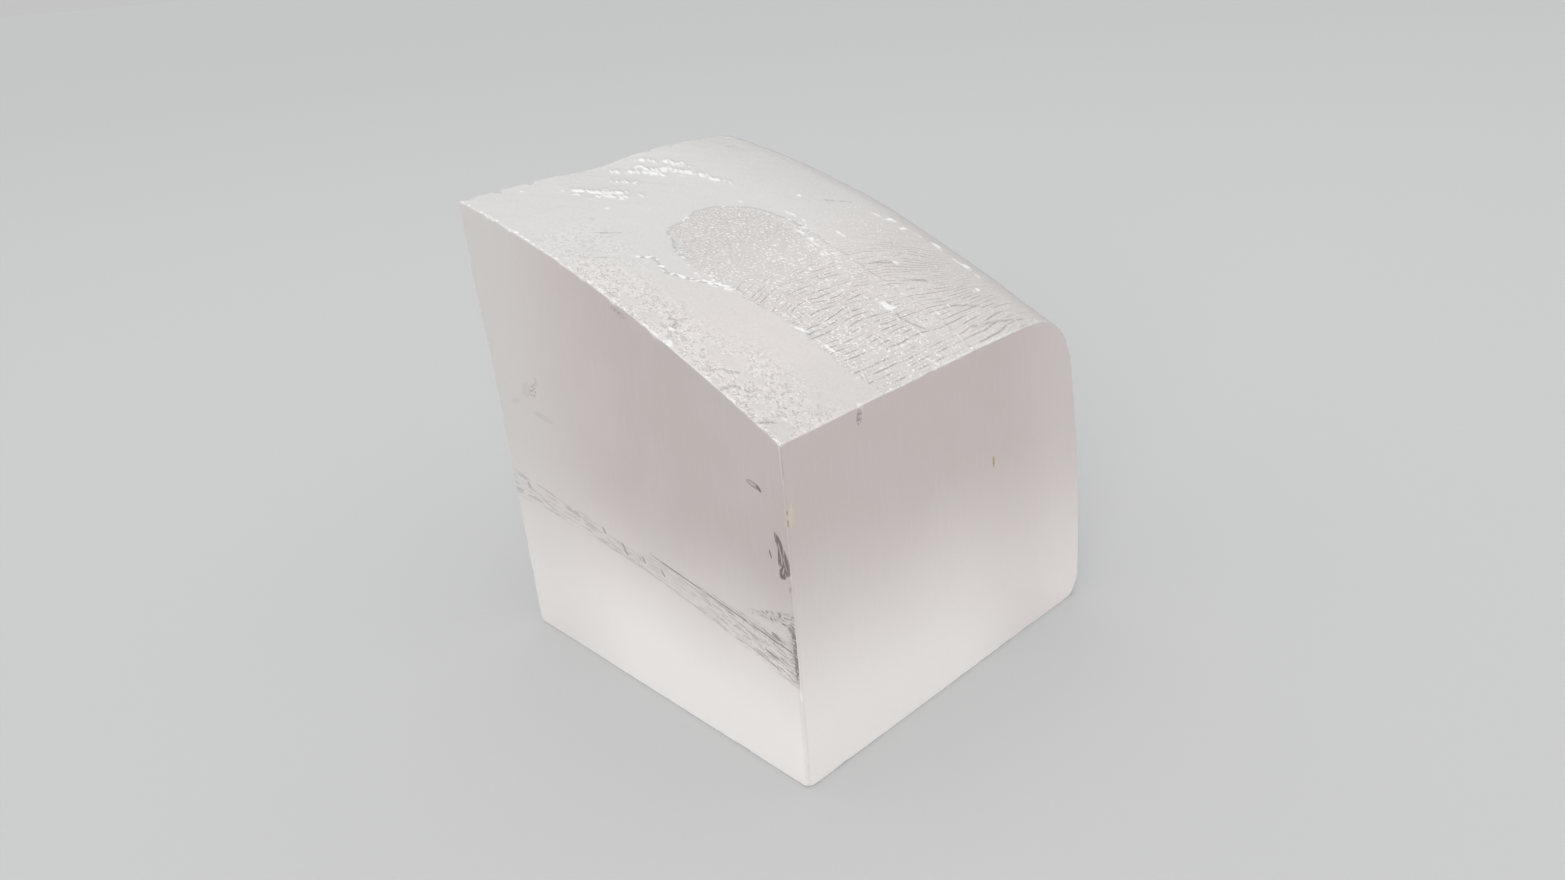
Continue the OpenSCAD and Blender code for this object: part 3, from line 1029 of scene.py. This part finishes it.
def skin_material():
    """The cast skin: glossy and rippled on the top, satin down the wall."""
    paint = Paint("cast_skin")
    step, product, most = paint.step, paint.product, paint.most
    stripped, flecks = paint.attribute("stripped"), paint.attribute("flecks")
    creases_and_shadows, chipped = paint.attribute("creases_and_shadows"), paint.attribute("chipped")
    ripple = paint.attribute("ripple")
    is_top = step(paint.y, 38, 26)

    drift = drift_zone(paint, stripped)
    lines = flow_lines(paint)
    net = product(paint.worms(0.95, 0.06, 5.0), step(paint.x, 16, -4))
    sparkle = paint.grains(0.6, 1.0, 0.60, 0.68)
    large_sparkle = product(paint.grains(0.9, 2.0, 0.64, 0.69), step(paint.x, -4, 12))
    # Painted shade in the flow furrows, the worm net and the ripple valleys; painted highlights on the
    # sparkles and the ripple crests
    dark = most(product(lines, stripped, 0.60), product(net, stripped, 0.24), product(lines, drift, 0.60))
    dark = most(dark, product(step(ripple, 0.2, -0.3), 0.25, is_top))
    pale = most(product(most(sparkle, large_sparkle), stripped, 0.9), product(sparkle, drift, 0.35))
    pale = most(pale, product(step(ripple, 0.70, 1.0), 0.35, is_top))

    zone = crackle_zone(paint)
    # Crackle lines, sunk by bump and painted dark as shade
    long_cracks = paint.worms((3.2, 1.5, 1), 0.055, 3.0)
    crackle = most(long_cracks, paint.worms(1.4, 0.06, 9.0))
    crackle = product(crackle, zone, paint.grains(1.2, 1.0, 0.46, 0.54))
    # The mirrored place keeps the dark specks apart from the sparkles
    specks = paint.grains(0.55, 0.0, 0.66, 0.74, paint.scaled(paint.place, (1.0, -1.0, 1.0)))
    specks = product(specks, most(zone, 0.25), is_top)
    colour = paint.layers(
        skin_base(paint, stripped),
        (dark, 1.0, FURROW_SHADE),
        (pale, 1.0, GLEAM),
        (zone, 0.6, SKIN_CRACKLED),
        (crackle, 0.35, CRACKLE_SHADE_AND_SPECKS),
        (specks, 0.42, CRACKLE_SHADE_AND_SPECKS),
        # Painted glints
        (product(sparkle, most(zone, 0.15), is_top), 0.8, WHITE),
        (creases_and_shadows, 0.55, CREASE_SHADE),
        # Painted glints on the flecks and on the chipped edges
        (most(step(flecks, 0.12, 0.60), product(chipped, 0.5)), 1.0, WHITE),
    )

    roughness = paint.add(0.11, product(paint.noise(6.0, 2.0), 0.14))
    roughness = paint.add(roughness, product(step(paint.y, 34, 46), 0.16))
    wrinkles = product(paint.noise(0.5, 2.0), paint.add(0.15, product(stripped, 0.7)), is_top)
    grooves = most(crackle, product(lines, most(stripped, drift)), product(net, stripped))
    normal = paint.bump(wrinkles, 0.16, 1.0)
    normal = paint.bump(paint.less(1.0, grooves), 0.06, 1.0, normal)
    normal = paint.bump(paint.noise(3.5, 2.0), 0.10, 0.6, normal)
    return paint.finish(colour, roughness, normal, SKIN_TRANSMISSION)


def block_materials():
    return {
        "skin": skin_material(),
        "front": ground_material("ground_front", "x", FRONT_GLOW, front_marks, shade=(49.2, 50.3)),
        "right": ground_material("ground_right", "y", RIGHT_GLOW, right_marks, RUST_SPOTS, (-48.5, -49.6)),
        "sawn": sawn_material(),
        "base": ground_material("ground_base", "x", HIDDEN_GLOW),
    }


# ------ floor and light

FLOOR_SIZE = 60.0
FLOOR_COLOUR = (0.522, 0.525, 0.528, 1)
SKY_COLOUR = (0.985, 0.985, 0.985, 1)
HORIZON_LIGHT = 0.56
ZENITH_LIGHT = 1.05
# The broad lamp overhead looks at the middle of the block
SOFTBOX_PLACE = (-0.1, 0.0, 1.3)
SOFTBOX_SIZE = 0.9
SOFTBOX_POWER = 2
SUN_SIDE = (0.85, -1.0, 0.37)
SUN_STRENGTH = 2.25
SUN_SPREAD = math.radians(50)


def make_floor():
    mesh = bpy.data.meshes.new("floor")
    half = FLOOR_SIZE / 2
    corners = [(-half, -half, 0), (half, -half, 0), (half, half, 0), (-half, half, 0)]
    mesh.from_pydata(corners, [], [(0, 1, 2, 3)])
    paint = Paint("floor")
    paint.fill(paint.shader, {"Base Color": FLOOR_COLOUR, "Roughness": 0.9, "Specular IOR Level": 0.0})
    mesh.materials.append(paint.material)
    floor = new_object("floor", mesh)


def make_lamp(name, kind, power, side, place=(0, 0, 0), **settings):
    """A lamp at a place that shines away from side, the direction its light comes from."""
    data = bpy.data.lights.new(name, kind)
    data.energy = power
    for setting, value in settings.items():
        setattr(data, setting, value)
    lamp = new_object(name, data)
    lamp.rotation_mode = "QUATERNION"
    lamp.rotation_quaternion = Vector(side).to_track_quat("Z", "Y")
    lamp.location = place


def make_sky():
    """An even studio dome, a little brighter overhead than at the horizon."""
    world = bpy.data.worlds.new("studio")
    world.use_nodes = True
    nodes, links = world.node_tree.nodes, world.node_tree.links
    split = nodes.new("ShaderNodeSeparateXYZ")
    links.new(nodes.new("ShaderNodeTexCoord").outputs["Generated"], split.inputs[0])
    rise = nodes.new("ShaderNodeMapRange")
    rise.inputs["To Min"].default_value = HORIZON_LIGHT
    rise.inputs["To Max"].default_value = ZENITH_LIGHT
    links.new(split.outputs["Z"], rise.inputs["Value"])
    background = nodes["Background"]
    background.inputs["Color"].default_value = SKY_COLOUR
    links.new(rise.outputs["Result"], background.inputs["Strength"])
    bpy.context.scene.world = world


def make_light():
    make_sky()
    above = Vector(SOFTBOX_PLACE)
    side = above - Vector((0, 0, HIGH[2] * MM / 2))
    make_lamp("overhead", "AREA", SOFTBOX_POWER, side, above, size=SOFTBOX_SIZE)
    make_lamp("front_fill", "SUN", SUN_STRENGTH, SUN_SIDE, angle=SUN_SPREAD)
    bpy.context.scene.view_settings.view_transform = "Standard"


make_camera()
make_block(build_shell(), block_materials())
make_floor()
make_light()
